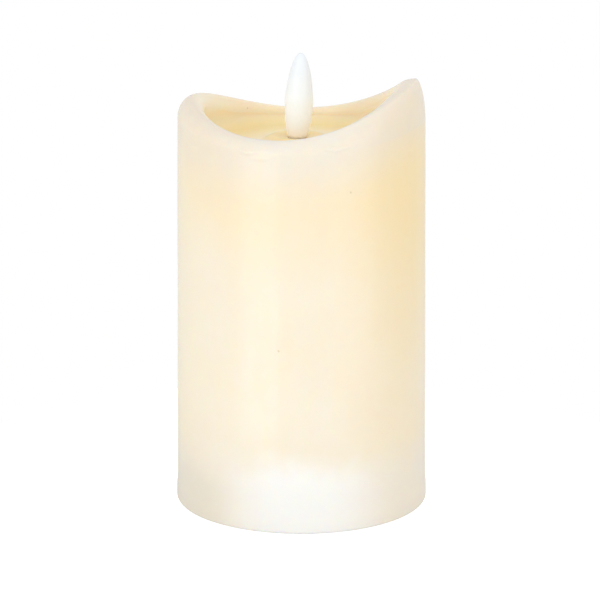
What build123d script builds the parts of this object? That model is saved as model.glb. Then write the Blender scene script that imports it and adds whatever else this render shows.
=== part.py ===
from build123d import *
from math import cos, pi, radians, sin
import os

# Flameless LED candle: a hollow wax pillar of the 3 x 5 inch class, with a moulded flame, that stands over a
# plastic module with two AA cells. All sizes are in millimetres.
# Frame: the origin is the middle of the foot and +Z is up. The cells lie along X, the switch is towards +Y.

os.makedirs("parts", exist_ok=True)


def save(builder, name):
    """Label a finished piece and write it as its own STEP file."""
    builder.part.label = name
    export_step(builder.part, f"parts/{name}.step")


def round_edges(builder, radius):
    """The circular edges of one radius in the part being built."""
    circles = builder.edges().filter_by(GeomType.CIRCLE)
    return circles.filter_by(lambda edge: abs(edge.radius - radius) < 0.01)


# ---------------------------------------------------------------------------------------------------------
# Driving dimensions
# ---------------------------------------------------------------------------------------------------------

# Wax pillar: 3 inches across at the foot, a little narrower at the top for the mould's draft
foot_radius = 38.1
foot_top = 5.0
side_radius_low = 37.8
side_low_z = 8.0
side_radius_high = 36.5
side_high_z = 134.0
wax_bottom = 0.4
foot_edge = 1.0

# Inside of the wax
socket_radius = 33.0
socket_top = 26.0
cavity_radius_high = 30.2
cavity_top = 102.5
cavity_corner = 4.0

# Dished top
bowl_radius = 29.6
bowl_floor = 111.0
bowl_corner = 5.0
mound_radius = 13.0
mound_crest_radius = 9.0
mound_crest = 112.2

# Wavy rim: a saddle that is high at the left and right and low at the front and back
ridge_radius = 33.3
rim_middle = 121.55
rim_wave = 5.64
rim_twist = -1.43
rim_tilt_x = 2.25
rim_tilt_y = -1.49
rim_outer_round = 3.0
rim_inner_round = 3.2

# Core: wick hole, flame, holder and tube share one axis, a little off the pillar's own
core_x = -1.2
wick_hole_radius = 2.75
flame_base = 111.6
flame_height = 25.0
flame_foot_radius = 2.95
flame_lean = 2.4
neck_radius = 2.55
neck_bore = 2.0
neck_bottom = 97.8
tube_radius = 6.0
tube_bore = 4.7

# Base module
module_radius = 32.6
module_wall = 1.5
foot_ring_width = 2.0
floor_bottom = 1.0
floor_top = 2.8
split_z = 9.5
lap_height = 2.5
lap_radius = 31.8
cover_inside = 20.6
cover_top = 22.0
spigot_radius = 7.7
spigot_top = 32.0

# AA cells
cell_radius = 7.15
cell_length = 50.5
nub_length = 1.1
nub_radius = 2.7
jacket_thickness = 0.15
cell_pitch = 14.8
bay_y = -1.2
cell_z = 10.15
nub_tip_x = 27.1

# Battery bay
bay_half_length = 28.4
bay_half_width = 15.1
bay_wall = 1.2
bay_round = 30.8
bay_ceiling = 17.6
bay_roof = 18.7

# Battery door and its hinge
door_inside = 2.6
door_seat = 2.9
door_gap = 0.3
door_half_width = 15.7
door_right_x = 28.1
door_taper_x = -22.0
door_left_x = -25.5
door_left_half = 9.0
door_left_gap = 0.7
door_round = 30.0
hinge_x = -27.4
hinge_z = 2.1
hinge_half_width = 8.0
hinge_barrel_radius = 0.9
hinge_pin_radius = 0.7
hinge_socket_radius = 0.77
hinge_pin_length = 1.4

# Screws
housing_screw_places = [(-12.5, -24.0), (12.5, -24.0), (-18.0, 20.6), (18.0, 20.6)]
board_screw_places = [(-10.8, 24.8), (10.8, 24.8)]
boss_top = 8.0
screw_seat = 4.0

# Circuit board
board_bottom = 9.0
board_top = 10.2
board_half_length = 13.0
board_front = 16.6
board_back = 27.0

# Slide switch
switch_y = 21.5
switch_travel = 2.0
switch_half_length = 5.5
switch_half_width = 2.4
switch_bottom = 4.6
switch_base_bottom = 8.2
terminal_pitch = 4.0

# Wires
wire_radius = 0.55
wire_bend = 3.5
wire_level = 19.6
wire_drop_y = 19.2
lead_pitch = 2.54

cell_a_y = bay_y - cell_pitch / 2
cell_b_y = bay_y + cell_pitch / 2
core_plane = Plane(origin=(core_x, 0, 0), x_dir=(1, 0, 0), z_dir=(0, -1, 0))
core_axis = Axis((core_x, 0, 0), (0, 0, 1))


# ---------------------------------------------------------------------------------------------------------
# Wax shell
# ---------------------------------------------------------------------------------------------------------


def rim_height(x, y):
    """Height of the rim's surface over the point x, y."""
    u = x / ridge_radius
    v = y / ridge_radius
    wave = rim_wave * (u * u - v * v) + rim_twist * 2 * u * v
    return rim_middle + rim_tilt_x * u + rim_tilt_y * v + wave


rim_span = 44.0
rim_steps = [rim_span * i / 6 for i in range(-6, 7)]
rim_grid = [[(x, y, rim_height(x, y)) for y in rim_steps] for x in rim_steps]
rim_surface = Face.make_surface_from_array_of_points(rim_grid, tol=1e-4, min_deg=3, max_deg=3)

with BuildPart() as wax_shell:
    with BuildSketch(Plane.XZ):
        with BuildLine():
            Polyline(
                (0, bowl_floor),
                (bowl_radius, bowl_floor),
                (bowl_radius, side_high_z),
                (side_radius_high, side_high_z),
                (side_radius_low, side_low_z),
                (foot_radius, foot_top),
                (foot_radius, wax_bottom),
                (socket_radius, wax_bottom),
                (socket_radius, socket_top),
                (cavity_radius_high, cavity_top),
                (0, cavity_top),
                close=True,
            )
        make_face()
    revolve(axis=Axis.Z)

    # Rounds of the foot, the cavity's roof and the dish's corner
    fillet(round_edges(wax_shell, foot_radius).sort_by(Axis.Z)[0], radius=foot_edge)
    fillet(round_edges(wax_shell, cavity_radius_high), radius=cavity_corner)
    fillet(round_edges(wax_shell, bowl_radius).sort_by(Axis.Z)[0], radius=bowl_corner)

    # Low mound round the wick hole
    with BuildSketch(core_plane):
        with BuildLine():
            Polyline(
                (0, flame_base),
                (0, bowl_floor - 1),
                (mound_radius, bowl_floor - 1),
                (mound_radius, bowl_floor),
            )
            Spline(
                (mound_radius, bowl_floor),
                (mound_crest_radius, mound_crest),
                (wick_hole_radius + 2, flame_base),
                (0, flame_base),
                tangents=[(-1, 0), (-1, 0)],
            )
        make_face()
    revolve(axis=core_axis)

    # Wick hole
    with BuildSketch(Plane.XY.offset(cavity_top - 1)):
        with Locations((core_x, 0)):
            Circle(wick_hole_radius)
    extrude(amount=flame_base - cavity_top + 4, mode=Mode.SUBTRACT)

    # Wavy rim, then its soft edges
    extrude(rim_surface, amount=30, dir=(0, 0, 1), mode=Mode.SUBTRACT)
    rim_face = wax_shell.faces().filter_by(GeomType.BSPLINE).filter_by(lambda face: face.inner_wires())[0]
    fillet(rim_face.outer_wire().edges(), radius=rim_outer_round)
    rim_face = wax_shell.faces().filter_by(GeomType.BSPLINE).filter_by(lambda face: face.inner_wires())[0]
    fillet(rim_face.inner_wires()[0].edges(), radius=rim_inner_round)

save(wax_shell, "wax_shell")


# ---------------------------------------------------------------------------------------------------------
# Flame, LED, holder and tube
# ---------------------------------------------------------------------------------------------------------

lean_x = sin(radians(flame_lean))
lean_z = cos(radians(flame_lean))
flame_foot = (core_x, 0, flame_base + flame_foot_radius * lean_x)
flame_plane = Plane(origin=flame_foot, x_dir=(lean_z, 0, -lean_x), z_dir=(0, -1, 0))
flame_axis = Axis(flame_foot, (lean_x, 0, lean_z))

# Half widths of the flame against the height above its base
flame_outline = [
    (flame_foot_radius, 0.0),
    (3.85, 5.0),
    (4.2, 10.5),
    (3.7, 15.8),
    (2.7, 20.8),
    (1.4, 23.8),
    (0.0, flame_height),
]
hollow_base = 0.9
hollow_top = 21.8
flame_hollow = [(2.4, hollow_base), (2.95, 5.0), (3.2, 10.5), (2.6, 16.5), (0.0, hollow_top)]

with BuildPart() as flame_diffuser:
    with BuildSketch(flame_plane):
        with BuildLine():
            Polyline((0, flame_height), (0, 0), flame_outline[0])
            Spline(flame_outline, tangents=[(0.3, 1), (-1, 0)])
        make_face()
    revolve(axis=flame_axis)
    with BuildSketch(Plane.XY.offset(neck_bottom)):
        with Locations((core_x, 0)):
            Circle(neck_radius)
    extrude(amount=flame_base + 0.5 - neck_bottom)
    with BuildSketch(Plane.XY.offset(neck_bottom)):
        with Locations((core_x, 0)):
            Circle(neck_bore)
    extrude(amount=flame_base + 2.0 - neck_bottom, mode=Mode.SUBTRACT)
    with BuildSketch(flame_plane):
        with BuildLine():
            Polyline((0, hollow_top), (0, hollow_base), flame_hollow[0])
            Spline(flame_hollow, tangents=[(0.2, 1), (-1, 0)])
        make_face()
    revolve(axis=flame_axis, mode=Mode.SUBTRACT)

save(flame_diffuser, "flame_diffuser")

led_bottom = 104.8
led_flange_top = 105.8
led_shoulder = 108.6
led_radius = 1.5
led_flange_radius = 1.9

with BuildPart() as flame_led:
    with BuildSketch(core_plane):
        with BuildLine():
            Polyline(
                (0, led_shoulder + led_radius),
                (0, led_bottom),
                (led_flange_radius, led_bottom),
                (led_flange_radius, led_flange_top),
                (led_radius, led_flange_top),
                (led_radius, led_shoulder),
            )
            RadiusArc((led_radius, led_shoulder), (0, led_shoulder + led_radius), -led_radius)
        make_face()
    revolve(axis=core_axis)

save(flame_led, "flame_led")

lead_width = 0.5
lead_end = 92.0
lead_places = [(core_x - lead_pitch / 2, 0), (core_x + lead_pitch / 2, 0)]

with BuildPart() as led_leads:
    with BuildSketch(Plane.XY.offset(lead_end)):
        with Locations(*lead_places):
            Rectangle(lead_width, lead_width)
    extrude(amount=led_bottom - lead_end)

save(led_leads, "led_leads")

with BuildPart() as heat_shrink_sleeves:
    with BuildSketch(Plane.XY.offset(87.0)):
        with Locations(*lead_places):
            Circle(0.95)
            Circle(0.6, mode=Mode.SUBTRACT)
    extrude(amount=9.5)

save(heat_shrink_sleeves, "heat_shrink_sleeves")

holder_radius = 8.0
holder_bottom = 89.0
holder_shelf = 97.1
holder_flange_bottom = 100.5

with BuildPart() as flame_holder:
    with BuildSketch(Plane.XY.offset(holder_bottom)):
        with Locations((core_x, 0)):
            Circle(holder_radius)
            Circle(tube_radius + 0.1, mode=Mode.SUBTRACT)
    extrude(amount=holder_shelf - holder_bottom)
    with BuildSketch(Plane.XY.offset(holder_shelf)):
        with Locations((core_x, 0)):
            Circle(holder_radius)
    extrude(amount=cavity_top - holder_shelf)
    with BuildSketch(Plane.XY.offset(holder_flange_bottom)):
        with Locations((core_x, 0)):
            Circle(12.0)
    extrude(amount=cavity_top - holder_flange_bottom)
    with BuildSketch(Plane.XY.offset(holder_shelf)):
        with Locations((core_x, 0)):
            Circle(neck_radius + 0.1)
    extrude(amount=cavity_top - holder_shelf, mode=Mode.SUBTRACT)
    fillet(round_edges(flame_holder, holder_radius).sort_by(Axis.Z)[-1], radius=1.5)

save(flame_holder, "flame_holder")

with BuildPart() as support_tube:
    with BuildSketch(Plane.XY.offset(cover_top)):
        with Locations((core_x, 0)):
            Circle(tube_radius)
            Circle(tube_bore, mode=Mode.SUBTRACT)
    extrude(amount=holder_shelf - 0.1 - cover_top)

save(support_tube, "support_tube")


# ---------------------------------------------------------------------------------------------------------
# Wires
# ---------------------------------------------------------------------------------------------------------


def make_wire(name, points, radii):
    """Sweep a round insulated wire along straight runs joined by tangent arcs."""
    with BuildPart() as wire:
        with BuildLine() as route:
            FilletPolyline(*points, radius=radii)
        path = route.wires()[0]
        with BuildSketch(Plane(origin=path @ 0, z_dir=path % 0)):
            Circle(wire_radius)
        sweep(path=path)
    fullness = wire.part.volume / (pi * wire_radius**2 * path.length)
    print(f"{name}: length {path.length:.1f}, radii {radii}, volume {fullness:.4f} of section times length")
    save(wire, name)


def led_wire_points(lead_x):
    """Down the tube with a little slack, over the battery bay's roof and down to the board."""
    return [
        (lead_x, 0, lead_end),
        (lead_x, 0, 84.0),
        (lead_x + 0.5, 1.4, 62.0),
        (lead_x - 0.3, -1.0, 40.0),
        (lead_x, 0, wire_level),
        (lead_x, wire_drop_y, wire_level),
        (lead_x, wire_drop_y, board_top),
    ]


make_wire("led_wire_positive", led_wire_points(lead_places[1][0]), [60.0, 60.0, 60.0, wire_bend, wire_bend])
make_wire("led_wire_negative", led_wire_points(lead_places[0][0]), [60.0, 60.0, 60.0, wire_bend, wire_bend])

tab_face_x = -28.0
make_wire(
    "battery_wire_positive",
    [
        (tab_face_x, cell_a_y, wire_level),
        (-21.0, cell_a_y, wire_level),
        (-8.6, 9.6, wire_level),
        (-8.6, wire_drop_y, wire_level),
        (-8.6, wire_drop_y, board_top),
    ],
    [5.5, 5.5, wire_bend],
)
make_wire(
    "battery_wire_negative",
    [
        (tab_face_x, cell_b_y, wire_level),
        (-19.5, cell_b_y, wire_level),
        (-11.6, 12.8, wire_level),
        (-11.6, wire_drop_y, wire_level),
        (-11.6, wire_drop_y, board_top),
    ],
    [5.5, 5.5, wire_bend],
)


# ---------------------------------------------------------------------------------------------------------
# Base module: housing and cover
# ---------------------------------------------------------------------------------------------------------

module_inside = module_radius - module_wall
bay_half_outer = bay_half_length + bay_wall
door_opening_left = door_left_x - door_left_gap
hinge_opening_left = -28.6


def door_outline(gap, left_gap):
    """Corners of the door, or of its opening with a gap all round; the hinge end is narrower."""
    half = door_half_width + gap
    left_half = door_left_half + gap
    left = door_left_x - left_gap
    taper = door_taper_x - gap
    right = door_right_x + gap
    lower = [(left, bay_y - left_half), (taper, bay_y - half), (right, bay_y - half)]
    upper = [(right, bay_y + half), (taper, bay_y + half), (left, bay_y + left_half)]
    return lower + upper


with BuildPart() as base_housing:
    # Outer wall with the lap joint, and the floor with its foot ring
    with BuildSketch():
        Circle(module_radius)
        Circle(module_radius - foot_ring_width, mode=Mode.SUBTRACT)
    extrude(amount=split_z)
    with BuildSketch(Plane.XY.offset(split_z)):
        Circle(lap_radius)
        Circle(module_inside, mode=Mode.SUBTRACT)
    extrude(amount=lap_height)
    with BuildSketch(Plane.XY.offset(floor_top)):
        Circle(module_inside)
    extrude(amount=split_z - floor_top, mode=Mode.SUBTRACT)
    with BuildSketch(Plane.XY.offset(floor_bottom)):
        Circle(module_inside)
    extrude(amount=floor_top - floor_bottom)

    # Battery bay: a pocket that opens downwards
    with BuildSketch(Plane.XY.offset(floor_bottom)):
        with Locations((0, bay_y)):
            Rectangle(2 * bay_half_outer, 2 * (bay_half_width + bay_wall))
        Circle(module_inside, mode=Mode.INTERSECT)
    extrude(amount=bay_roof - floor_bottom)
    with BuildSketch(Plane.XY.offset(door_seat)):
        with Locations((0, bay_y)):
            Rectangle(2 * bay_half_length, 2 * bay_half_width)
        Circle(bay_round, mode=Mode.INTERSECT)
    extrude(amount=bay_ceiling - door_seat, mode=Mode.SUBTRACT)

    # Cheeks that hold the hinge pins, before the door opening is cut between them
    cheek_half_width = hinge_half_width + door_gap + 2.4
    with BuildSketch(Plane.XY.offset(floor_bottom)):
        with Locations(((door_opening_left - bay_half_length) / 2, bay_y)):
            Rectangle(bay_half_length + door_opening_left, 2 * cheek_half_width)
    extrude(amount=3.3 - floor_bottom)

    # Door opening, narrower at the hinge
    with BuildSketch(Plane.XY.offset(floor_bottom)):
        with BuildLine():
            Polyline(*door_outline(door_gap, door_left_gap), close=True)
        make_face()
        Circle(door_round + door_gap, mode=Mode.INTERSECT)
    extrude(amount=door_seat - floor_bottom, mode=Mode.SUBTRACT)
    with BuildSketch(Plane.XY.offset(floor_bottom)):
        with Locations(((hinge_opening_left + door_opening_left) / 2, bay_y)):
            Rectangle(door_opening_left - hinge_opening_left, 2 * (hinge_half_width + door_gap))
    extrude(amount=3.4 - floor_bottom, mode=Mode.SUBTRACT)

    # Sockets for the hinge pins
    with BuildSketch(Plane.XZ.offset(-bay_y)):
        with Locations((hinge_x, hinge_z)):
            Circle(hinge_socket_radius)
    extrude(amount=hinge_half_width + hinge_pin_length + 0.3, both=True, mode=Mode.SUBTRACT)

    # Catch rib over the snap hook and a fingernail scoop beside it
    with BuildSketch(Plane.XY.offset(4.9)):
        with Locations((bay_half_length - 0.05, bay_y)):
            Rectangle(0.1, 4.0)
    extrude(amount=0.1)
    with BuildSketch(Plane.XY.offset(floor_bottom)):
        with Locations((bay_half_length - 0.2, bay_y)):
            SlotOverall(9.0, 3.6, rotation=90)
        with Locations((bay_half_length - 2, bay_y)):
            Rectangle(4, 12, mode=Mode.SUBTRACT)
    extrude(amount=0.9, mode=Mode.SUBTRACT)

    # Screw bosses, with counterbores under the floor
    with BuildSketch(Plane.XY.offset(floor_top - 0.1)):
        with Locations(*housing_screw_places):
            Circle(2.7)
    extrude(amount=boss_top - floor_top + 0.1)
    with BuildSketch(Plane.XY.offset(floor_bottom)):
        with Locations(*housing_screw_places):
            Circle(2.4)
    extrude(amount=screw_seat - floor_bottom, mode=Mode.SUBTRACT)
    with BuildSketch(Plane.XY.offset(floor_bottom)):
        with Locations(*housing_screw_places):
            Circle(1.3)
    extrude(amount=boss_top - floor_bottom, mode=Mode.SUBTRACT)

    # Posts under the circuit board
    with BuildSketch(Plane.XY.offset(floor_top - 0.1)):
        with Locations(*board_screw_places):
            Circle(1.9)
    extrude(amount=board_bottom - floor_top + 0.1)
    with BuildSketch(Plane.XY.offset(floor_top + 1)):
        with Locations(*board_screw_places):
            Circle(0.85)
    extrude(amount=board_bottom - floor_top, mode=Mode.SUBTRACT)

    # Switch recess and slot
    with BuildSketch(Plane.XY.offset(floor_top - 0.1)):
        with Locations((0, switch_y)):
            SlotOverall(16.4, 9.4)
    extrude(amount=0.7)
    with BuildSketch(Plane.XY.offset(floor_bottom)):
        with Locations((0, switch_y)):
            SlotOverall(14.0, 7.0)
    extrude(amount=1.2, mode=Mode.SUBTRACT)
    with BuildSketch(Plane.XY.offset(floor_bottom)):
        with Locations((0, switch_y)):
            Rectangle(7.8, 2.6)
    extrude(amount=3.4 - floor_bottom, mode=Mode.SUBTRACT)

    # Slots in the roof for the contacts' solder tabs
    with BuildSketch(Plane.XY.offset(bay_ceiling)):
        with Locations((-28.1, cell_a_y), (-28.1, cell_b_y)):
            Rectangle(1.0, 3.2)
    extrude(amount=bay_roof - bay_ceiling, mode=Mode.SUBTRACT)

    # Raised marks beside the switch: a bar for on, a ring for off and a clock face for the timer
    mark_y = switch_y + 5.2
    with BuildSketch(Plane.XY.offset(floor_bottom - 0.25)):
        with Locations((-5.0, mark_y)):
            Rectangle(0.5, 2.2)
        with Locations((0, mark_y), (5.0, mark_y)):
            Circle(1.2)
            Circle(0.8, mode=Mode.SUBTRACT)
        with Locations((5.0, mark_y + 0.35)):
            Rectangle(0.35, 0.9)
        with Locations((5.25, mark_y)):
            Rectangle(0.7, 0.35)
    extrude(amount=0.3)

save(base_housing, "base_housing")

with BuildPart() as upper_cover:
    with BuildSketch(Plane.XY.offset(split_z + 0.1)):
        Circle(module_radius)
    extrude(amount=cover_top - split_z - 0.1)
    fillet(round_edges(upper_cover, module_radius).sort_by(Axis.Z)[-1], radius=1.0)
    with BuildSketch(Plane.XY.offset(split_z + 0.1)):
        Circle(module_inside)
    extrude(amount=cover_inside - split_z - 0.1, mode=Mode.SUBTRACT)
    with BuildSketch(Plane.XY.offset(split_z + 0.1)):
        Circle(lap_radius + 0.1)
    extrude(amount=lap_height + 0.1, mode=Mode.SUBTRACT)

    # Spigot for the support tube, and the wires' way through
    with BuildSketch(Plane.XY.offset(cover_top)):
        with Locations((core_x, 0)):
            Circle(spigot_radius)
    extrude(amount=spigot_top - cover_top)
    fillet(round_edges(upper_cover, spigot_radius).sort_by(Axis.Z)[0], radius=2.0)
    with BuildSketch(Plane.XY.offset(cover_top)):
        with Locations((core_x, 0)):
            Circle(tube_radius + 0.1)
    extrude(amount=spigot_top - cover_top, mode=Mode.SUBTRACT)
    with BuildSketch(Plane.XY.offset(cover_inside)):
        with Locations((core_x, 0)):
            Circle(tube_bore)
    extrude(amount=cover_top - cover_inside, mode=Mode.SUBTRACT)

    # Pillars that take the housing screws
    with BuildSketch(Plane.XY.offset(boss_top + 0.1)):
        with Locations(*housing_screw_places):
            Circle(2.5)
    extrude(amount=cover_inside - boss_top)
    with BuildSketch(Plane.XY.offset(boss_top + 0.1)):
        with Locations(*housing_screw_places):
            Circle(1.15)
    extrude(amount=7.0, mode=Mode.SUBTRACT)

save(upper_cover, "upper_cover")


# ---------------------------------------------------------------------------------------------------------
# Battery door
# ---------------------------------------------------------------------------------------------------------

hook_x = 27.0

with BuildPart() as battery_door:
    with BuildSketch(Plane.XY.offset(floor_bottom)):
        with BuildLine():
            Polyline(*door_outline(0, 0), close=True)
        make_face()
        Circle(door_round, mode=Mode.INTERSECT)
    extrude(amount=door_inside - floor_bottom)

    # Hinge leaf, barrel and pins
    with BuildSketch(Plane.XY.offset(hinge_z - hinge_barrel_radius + 0.1)):
        with Locations(((hinge_x + door_left_x) / 2, bay_y)):
            Rectangle(door_left_x - hinge_x + 0.4, 2 * hinge_half_width)
    extrude(amount=door_inside - hinge_z + hinge_barrel_radius - 0.1)
    with BuildSketch(Plane.XZ.offset(-bay_y)):
        with Locations((hinge_x, hinge_z)):
            Circle(hinge_barrel_radius)
    extrude(amount=hinge_half_width, both=True)
    with BuildSketch(Plane.XZ.offset(-bay_y)):
        with Locations((hinge_x, hinge_z)):
            Circle(hinge_pin_radius)
    extrude(amount=hinge_half_width + hinge_pin_length, both=True)

    # Snap hook: an arm with a small nose
    with BuildSketch(Plane.XZ.offset(-bay_y)):
        with BuildLine():
            Polyline(
                (hook_x - 0.5, door_inside - 0.1),
                (hook_x + 0.5, door_inside - 0.1),
                (hook_x + 0.5, 3.4),
                (hook_x + 0.9, 3.7),
                (hook_x + 0.4, 4.7),
                (hook_x - 0.3, 4.7),
                close=True,
            )
        make_face()
    extrude(amount=1.8, both=True)

    # Grip ribs and an arrow towards the snap hook, on the outside
    with BuildSketch(Plane.XY.offset(floor_bottom - 0.25)):
        for rib in range(4):
            with Locations((hook_x - 1.5 - 1.6 * rib, bay_y)):
                Rectangle(0.6, 9.0)
        with Locations((hook_x - 9.5, bay_y)):
            RegularPolygon(2.2, 3)
    extrude(amount=0.3)

save(battery_door, "battery_door")


# ---------------------------------------------------------------------------------------------------------
# Cells and contacts
# ---------------------------------------------------------------------------------------------------------


def make_cell(suffix, cell_y, towards):
    """One AA cell along X, its nub at towards (+1 or -1); a steel can and a printed jacket."""
    nub_tip = Plane(origin=(towards * nub_tip_x, cell_y, cell_z), z_dir=(-towards, 0, 0))
    can_radius = cell_radius - jacket_thickness
    with BuildPart() as can:
        with BuildSketch(nub_tip):
            Circle(nub_radius)
        extrude(amount=nub_length + 0.5)
        with BuildSketch(nub_tip.offset(nub_length)):
            Circle(can_radius)
        extrude(amount=cell_length - nub_length)
        fillet(round_edges(can, can_radius), radius=0.8)
        nub_edges = round_edges(can, nub_radius).sort_by(Axis((0, 0, 0), (towards, 0, 0)))
        fillet(nub_edges[-1], radius=0.4)
    save(can, f"battery_can_{suffix}")

    with BuildPart() as jacket:
        with BuildSketch(nub_tip.offset(nub_length + 1.0)):
            Circle(cell_radius)
            Circle(can_radius, mode=Mode.SUBTRACT)
        extrude(amount=cell_length - nub_length - 2.0)
    save(jacket, f"battery_jacket_{suffix}")


make_cell("a", cell_a_y, -1)
make_cell("b", cell_b_y, 1)

plate_thickness = 0.4
plate_bottom = 5.0
plate_top = 16.8
tab_top = 20.2


def make_contact(name, side, plate_y, plate_width, dome_y=None, tab_y=None):
    """Sprung steel plate against one end wall of the bay, with a dome for a cell's nub or a solder tab."""
    # The plane's X runs along the frame's Y and its Y runs up, at either end of the bay
    wall = Plane(origin=(side * bay_half_length, 0, 0), x_dir=(0, -side, 0), z_dir=(-side, 0, 0))
    with BuildPart() as contact:
        with BuildSketch(wall):
            with Locations((-side * plate_y, (plate_bottom + plate_top) / 2)):
                RectangleRounded(plate_width, plate_top - plate_bottom, 1.5)
            if tab_y is not None:
                with Locations((-side * tab_y, (plate_top + tab_top) / 2 - 1)):
                    Rectangle(2.4, tab_top - plate_top + 2)
        extrude(amount=plate_thickness)
        if dome_y is not None:
            with BuildSketch(wall):
                with Locations((-side * dome_y, cell_z)):
                    Circle(2.4)
            with BuildSketch(wall.offset(bay_half_length - nub_tip_x)):
                with Locations((-side * dome_y, cell_z)):
                    Circle(1.2)
            loft()
    save(contact, name)


make_contact("bridge_contact", 1, (cell_a_y + cell_b_y) / 2 + 0.2, 20.4, dome_y=cell_b_y)
make_contact("positive_contact", -1, cell_a_y, 6.0, dome_y=cell_a_y, tab_y=cell_a_y)
make_contact("negative_contact", -1, cell_b_y, 6.8, tab_y=cell_b_y)

spring_wire_radius = 0.3
spring_root_x = 27.65
spring_radius = 3.5
spring_tip_radius = 2.46
spring_pitch = 1.3
spring_turns = 3
spring_steps = 8  # path points in one turn


def make_spring(name, side, cell_y):
    """Conical coil from the contact plate to the cell's flat end."""
    coil_points = []
    for step in range(spring_turns * spring_steps + 1):
        turns = step / spring_steps
        taper = (spring_radius - spring_tip_radius) * turns / spring_turns
        x = side * (spring_root_x - spring_pitch * turns)
        y = cell_y + (spring_radius - taper) * cos(2 * pi * turns)
        z = cell_z + (spring_radius - taper) * sin(2 * pi * turns)
        coil_points.append((x, y, z))
    with BuildPart() as spring:
        with BuildLine() as coil:
            Spline(*coil_points)
        with BuildSketch(Plane(origin=coil.line @ 0, z_dir=coil.line % 0)):
            Circle(spring_wire_radius)
        sweep(path=coil.line)
    save(spring, name)


make_spring("bridge_spring", 1, cell_a_y)
make_spring("negative_spring", -1, cell_b_y)


# ---------------------------------------------------------------------------------------------------------
# Circuit board and its components
# ---------------------------------------------------------------------------------------------------------

terminal_places = [(-terminal_pitch, switch_y), (0, switch_y), (terminal_pitch, switch_y)]

with BuildPart() as circuit_board:
    with BuildSketch(Plane.XY.offset(board_bottom)):
        with Locations((0, (board_front + board_back) / 2)):
            RectangleRounded(2 * board_half_length, board_back - board_front, 1.0)
        with Locations(*board_screw_places):
            Circle(1.1, mode=Mode.SUBTRACT)
        with Locations(*terminal_places):
            Circle(0.45, mode=Mode.SUBTRACT)
    extrude(amount=board_top - board_bottom)
save(circuit_board, "circuit_board")

chip_place = (7.4, 20.0)

with BuildPart() as controller_chip:
    with BuildSketch(Plane.XY.offset(board_top + 0.1)):
        with Locations(chip_place):
            Rectangle(4.9, 3.9)
    extrude(amount=1.45)
    chamfer(controller_chip.edges().group_by(Axis.Z)[-1], length=0.25)
    with BuildSketch(Plane.XY.offset(board_top)):
        with Locations(chip_place):
            with GridLocations(1.27, 4.9, 4, 2):
                Rectangle(0.42, 1.1)
    extrude(amount=0.7)
save(controller_chip, "controller_chip")

with BuildPart() as capacitor:
    with BuildSketch(Plane.XY.offset(board_top)):
        with Locations((-4.0, 24.7)):
            Circle(2.0)
    extrude(amount=5.4)
    fillet(capacitor.edges().group_by(Axis.Z)[-1], radius=0.4)
save(capacitor, "capacitor")

with BuildPart() as resistors:
    with BuildSketch(Plane.XY.offset(board_top)):
        with Locations((0.9, 24.2), (0.9, 26.0), (4.2, 25.4)):
            Rectangle(2.0, 1.25)
    extrude(amount=0.5)
save(resistors, "resistors")


# ---------------------------------------------------------------------------------------------------------
# Slide switch
# ---------------------------------------------------------------------------------------------------------

shell_sheet = 0.4
knob_flange_half = 2.2
knob_stem_half = 1.3
knob_gap = 0.35

with BuildPart() as switch_shell:
    with BuildSketch(Plane.XY.offset(switch_bottom)):
        with Locations((0, switch_y)):
            RectangleRounded(2 * switch_half_length, 2 * switch_half_width, 0.5)
    extrude(amount=switch_base_bottom - switch_bottom)
    with BuildSketch(Plane.XY.offset(switch_bottom + shell_sheet)):
        with Locations((0, switch_y)):
            Rectangle(2 * (switch_half_length - shell_sheet), 2 * (switch_half_width - shell_sheet))
    extrude(amount=switch_base_bottom - switch_bottom, mode=Mode.SUBTRACT)
    with BuildSketch(Plane.XY.offset(switch_bottom)):
        with Locations((0, switch_y)):
            Rectangle(2 * (knob_stem_half + switch_travel + knob_gap), 2.2)
    extrude(amount=shell_sheet, mode=Mode.SUBTRACT)
save(switch_shell, "switch_shell")

with BuildPart() as switch_base:
    with BuildSketch(Plane.XY.offset(switch_base_bottom)):
        with Locations((0, switch_y)):
            Rectangle(2 * switch_half_length, 2 * switch_half_width)
        with Locations(*terminal_places):
            Rectangle(0.6, 0.4, mode=Mode.SUBTRACT)
    extrude(amount=board_bottom - switch_base_bottom)
save(switch_base, "switch_base")

with BuildPart() as switch_terminals:
    with BuildSketch(Plane.XY.offset(switch_base_bottom - 0.1)):
        with Locations(*terminal_places):
            Rectangle(0.6, 0.4)
    extrude(amount=board_top + 0.8 - switch_base_bottom)
save(switch_terminals, "switch_terminals")

with BuildPart() as switch_knob:
    with BuildSketch(Plane.XY.offset(5.4)):
        with Locations((0, switch_y)):
            Rectangle(2 * knob_flange_half, 3.2)
    extrude(amount=2.2)
    with BuildSketch(Plane.XY.offset(1.8)):
        with Locations((0, switch_y)):
            Rectangle(2 * knob_stem_half, 1.5)
    extrude(amount=3.8)
    with BuildSketch(Plane.XY.offset(0.5)):
        with Locations((0, switch_y)):
            Rectangle(3.0, 2.0)
    extrude(amount=1.4)
    with BuildSketch(Plane.XY.offset(0.5)):
        for groove in (-0.8, 0, 0.8):
            with Locations((groove, switch_y)):
                Rectangle(0.35, 2.0)
    extrude(amount=0.3, mode=Mode.SUBTRACT)
save(switch_knob, "switch_knob")


# ---------------------------------------------------------------------------------------------------------
# Screws and glue
# ---------------------------------------------------------------------------------------------------------


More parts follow.
